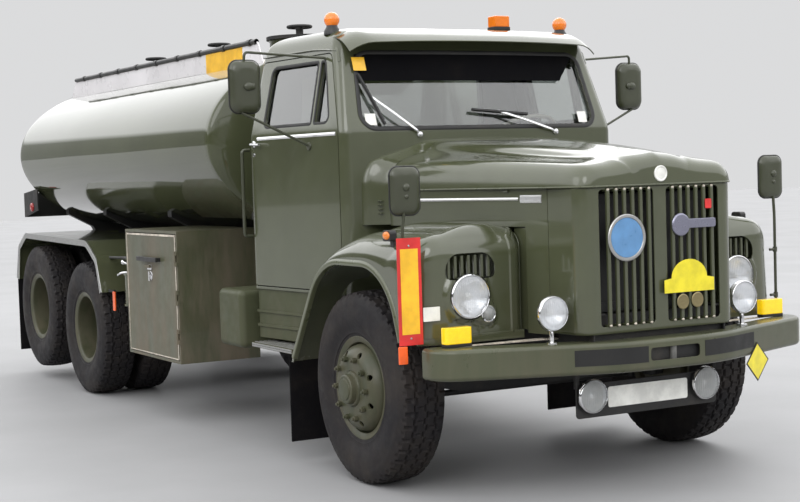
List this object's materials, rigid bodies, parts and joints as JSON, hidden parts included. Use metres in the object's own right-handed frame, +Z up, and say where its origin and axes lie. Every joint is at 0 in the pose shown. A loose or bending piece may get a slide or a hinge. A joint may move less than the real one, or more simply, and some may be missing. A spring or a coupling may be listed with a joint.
{
  "type": "bonneted tanker truck",
  "caption": "Bonneted tanker truck with a long oval tank, a hinged bonnet and doors, steered front wheels, a driven rear axle and a lifted trailing axle.",
  "frame": {"origin": "on the ground under the middle of the truck's length and width", "axes": "+X forward, +Y to the truck's left, +Z up"},
  "size_m": [8.176, 3.01, 2.827],
  "materials": {
    "paint": "gloss dark olive",
    "chassis": "satin black",
    "engine_iron": "cast",
    "chrome": "polished",
    "glass": "clear",
    "seat_cloth": "woven",
    "cab_trim": "grained",
    "flap_rubber": "smooth",
    "amber": "clear amber",
    "tyre": "worn",
    "wheel_paint": "semi-gloss"
  },
  "bodies": {
    "root": {"ladder_frame": "chassis", "leaf_springs": "chassis", "front_axle_beam": "chassis", "rear_axles": "chassis", "engine_block": "engine_iron", "gearbox_and_shaft": "chassis", "radiator": "chassis", "side_boxes": "paint", "bumper": "paint", "front_wings": "paint", "nose_shell": "paint", "grille_slats": "chrome", "bonnet_side_panels": "paint", "cab_shell": "paint", "cab_glass": "glass", "seats": "seat_cloth", "dashboard": "cab_trim", "cab_steps": "paint", "tank": "paint", "tank_saddles": "paint", "coamings": "paint", "tank_ladder": "paint", "cabinets": "paint", "outlet_valve": "paint", "rear_mudguards": "paint", "mud_flaps": "flap_rubber", "rear_lamp_board": "paint", "rear_coupling": "chassis", "front_lamps": "chrome", "amber_lamps": "amber", "wing_mirrors": "cab_trim"},
    "bonnet": {"bonnet_lid": "paint"},
    "steering_wheel": {"steering_wheel": "cab_trim"},
    "tie_rod": {"tie_rod": "chassis"},
    "door_left": {"door_left": "paint", "door_glass_left": "glass", "door_mirror_left": "cab_trim"},
    "knuckle_left": {"knuckle_left": "chassis"},
    "cabinet_door_left": {"cabinet_door_left": "paint"},
    "front_wheel_left": {"front_wheel_left": "wheel_paint", "front_tyre_left": "tyre"},
    "drive_wheel_left": {"drive_wheel_left": "wheel_paint", "drive_tyre_left": "tyre"},
    "tag_wheel_left": {"tag_wheel_left": "wheel_paint", "tag_tyre_left": "tyre"},
    "door_right": {"door_right": "paint", "door_glass_right": "glass", "door_mirror_right": "cab_trim"},
    "knuckle_right": {"knuckle_right": "chassis"},
    "cabinet_door_right": {"cabinet_door_right": "paint"},
    "front_wheel_right": {"front_wheel_right": "wheel_paint", "front_tyre_right": "tyre"},
    "drive_wheel_right": {"drive_wheel_right": "wheel_paint", "drive_tyre_right": "tyre"},
    "tag_wheel_right": {"tag_wheel_right": "wheel_paint", "tag_tyre_right": "tyre"},
    "tank_lid_1": {"tank_lid_1": "paint"},
    "tank_lid_2": {"tank_lid_2": "paint"},
    "tank_lid_3": {"tank_lid_3": "paint"}
  },
  "joints": [
    {"name": "steer_left", "type": "hinge", "parent": "root", "child": "knuckle_left", "pos_m": [2.792, 0.86, 0.533], "axis": [0, 0, 1], "range_deg": [-32, 32]},
    {"name": "steer_right", "type": "hinge", "parent": "root", "child": "knuckle_right", "pos_m": [2.792, -0.86, 0.533], "axis": [0, 0, 1], "range_deg": [-32, 32]},
    {"name": "tie_rod_pin", "type": "hinge", "parent": "knuckle_left", "child": "tie_rod", "pos_m": [2.582, 0.86, 0.415], "axis": [0, 0, 1], "range_deg": [-32, 32]},
    {"name": "steering_wheel_turn", "type": "hinge", "parent": "root", "child": "steering_wheel", "pos_m": [2.032, 0.48, 1.836], "axis": [-0.538, 0, 0.843], "range_deg": [-480, 480]},
    {"name": "front_wheel_left_roll", "type": "hinge", "parent": "knuckle_left", "child": "front_wheel_left", "pos_m": [2.792, 1.04, 0.533], "axis": [0, 1, 0], "continuous": true},
    {"name": "drive_wheel_left_roll", "type": "hinge", "parent": "root", "child": "drive_wheel_left", "pos_m": [-1.858, 0.932, 0.533], "axis": [0, 1, 0], "continuous": true},
    {"name": "tag_wheel_left_roll", "type": "hinge", "parent": "root", "child": "tag_wheel_left", "pos_m": [-3.148, 0.932, 0.629], "axis": [0, 1, 0], "continuous": true},
    {"name": "door_left_hinge", "type": "hinge", "parent": "root", "child": "door_left", "pos_m": [2.274, 1, 1.56], "axis": [0, 0, -1], "range_deg": [0, 65]},
    {"name": "cabinet_door_left_hinge", "type": "hinge", "parent": "root", "child": "cabinet_door_left", "pos_m": [0.24, 1.229, 0.89], "axis": [0, 0, -1], "range_deg": [0, 110]},
    {"name": "front_wheel_right_roll", "type": "hinge", "parent": "knuckle_right", "child": "front_wheel_right", "pos_m": [2.792, -1.04, 0.533], "axis": [0, 1, 0], "continuous": true},
    {"name": "drive_wheel_right_roll", "type": "hinge", "parent": "root", "child": "drive_wheel_right", "pos_m": [-1.858, -0.932, 0.533], "axis": [0, 1, 0], "continuous": true},
    {"name": "tag_wheel_right_roll", "type": "hinge", "parent": "root", "child": "tag_wheel_right", "pos_m": [-3.148, -0.932, 0.629], "axis": [0, 1, 0], "continuous": true},
    {"name": "door_right_hinge", "type": "hinge", "parent": "root", "child": "door_right", "pos_m": [2.274, -1, 1.56], "axis": [0, 0, 1], "range_deg": [0, 65]},
    {"name": "cabinet_door_right_hinge", "type": "hinge", "parent": "root", "child": "cabinet_door_right", "pos_m": [0.24, -1.229, 0.89], "axis": [0, 0, 1], "range_deg": [0, 110]},
    {"name": "bonnet_hinge", "type": "hinge", "parent": "root", "child": "bonnet", "pos_m": [2.458, 0, 1.952], "axis": [0, -1, 0], "range_deg": [0, 50]},
    {"name": "tank_lid_1_hinge", "type": "hinge", "parent": "root", "child": "tank_lid_1", "pos_m": [-0.48, 0, 2.73], "axis": [0, -1, 0], "range_deg": [0, 100]},
    {"name": "tank_lid_2_hinge", "type": "hinge", "parent": "root", "child": "tank_lid_2", "pos_m": [-2.03, 0, 2.73], "axis": [0, -1, 0], "range_deg": [0, 100]},
    {"name": "tank_lid_3_hinge", "type": "hinge", "parent": "root", "child": "tank_lid_3", "pos_m": [-3.53, 0, 2.73], "axis": [0, -1, 0], "range_deg": [0, 100]}
  ],
  "couplings": [
    {"joint": "steer_right", "follows": "steer_left", "ratio": 1},
    {"joint": "tie_rod_pin", "follows": "steer_left", "ratio": -1},
    {"joint": "steering_wheel_turn", "follows": "steer_left", "ratio": 15}
  ]
}
